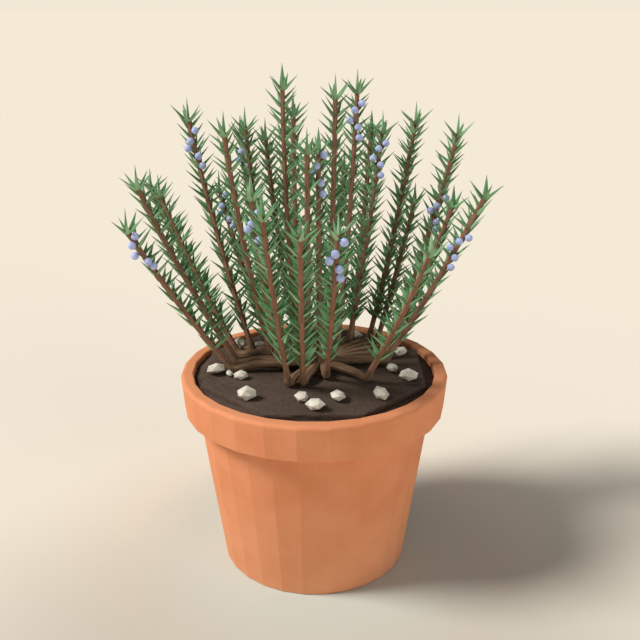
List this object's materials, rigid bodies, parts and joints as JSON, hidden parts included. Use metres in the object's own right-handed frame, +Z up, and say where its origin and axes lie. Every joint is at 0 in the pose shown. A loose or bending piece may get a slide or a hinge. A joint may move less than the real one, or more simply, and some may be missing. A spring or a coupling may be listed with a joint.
{
  "type": "potted rosemary plant",
  "caption": "Rosemary bush of upright and outward-leaning leafy stems with small blue flower buds, rooted in soil with pale stone chips in a round tapering terracotta pot with a collar rim.",
  "frame": {"origin": "centre of the pot's flat foot", "axes": "+Z up along the pot's axis, -Y towards the plant's front"},
  "size_m": [0.2537, 0.2043, 0.335],
  "materials": {
    "terracotta": "matt unglazed fired clay",
    "soil": "dark matt potting soil",
    "bark": "matt brown bark",
    "foliage": "satin green needles on a brown stem",
    "stone": "matt pale stone"
  },
  "bodies": {
    "root": {"crown": "bark", "leafy_stem_01": "foliage", "leafy_stem_02": "foliage", "leafy_stem_03": "foliage", "leafy_stem_04": "foliage", "leafy_stem_05": "foliage", "leafy_stem_06": "foliage", "leafy_stem_07": "foliage", "leafy_stem_08": "foliage", "leafy_stem_09": "foliage", "leafy_stem_10": "foliage", "leafy_stem_11": "foliage", "leafy_stem_12": "foliage", "leafy_stem_13": "foliage", "leafy_stem_14": "foliage", "leafy_stem_15": "foliage", "leafy_stem_16": "foliage", "leafy_stem_17": "foliage", "leafy_stem_18": "foliage", "leafy_stem_19": "foliage", "leafy_stem_20": "foliage", "leafy_stem_21": "foliage", "leafy_stem_22": "foliage", "leafy_stem_23": "foliage", "leafy_stem_24": "foliage", "leafy_stem_25": "foliage", "leafy_stem_26": "foliage", "leafy_stem_27": "foliage", "leafy_stem_28": "foliage", "leafy_stem_29": "foliage", "pot": "terracotta", "soil": "soil", "stone_chip_01": "stone", "stone_chip_02": "stone", "stone_chip_03": "stone", "stone_chip_04": "stone", "stone_chip_05": "stone", "stone_chip_06": "stone", "stone_chip_07": "stone", "stone_chip_08": "stone", "stone_chip_09": "stone", "stone_chip_10": "stone", "stone_chip_11": "stone", "stone_chip_12": "stone", "stone_chip_13": "stone", "stone_chip_14": "stone"}
  },
  "joints": []
}
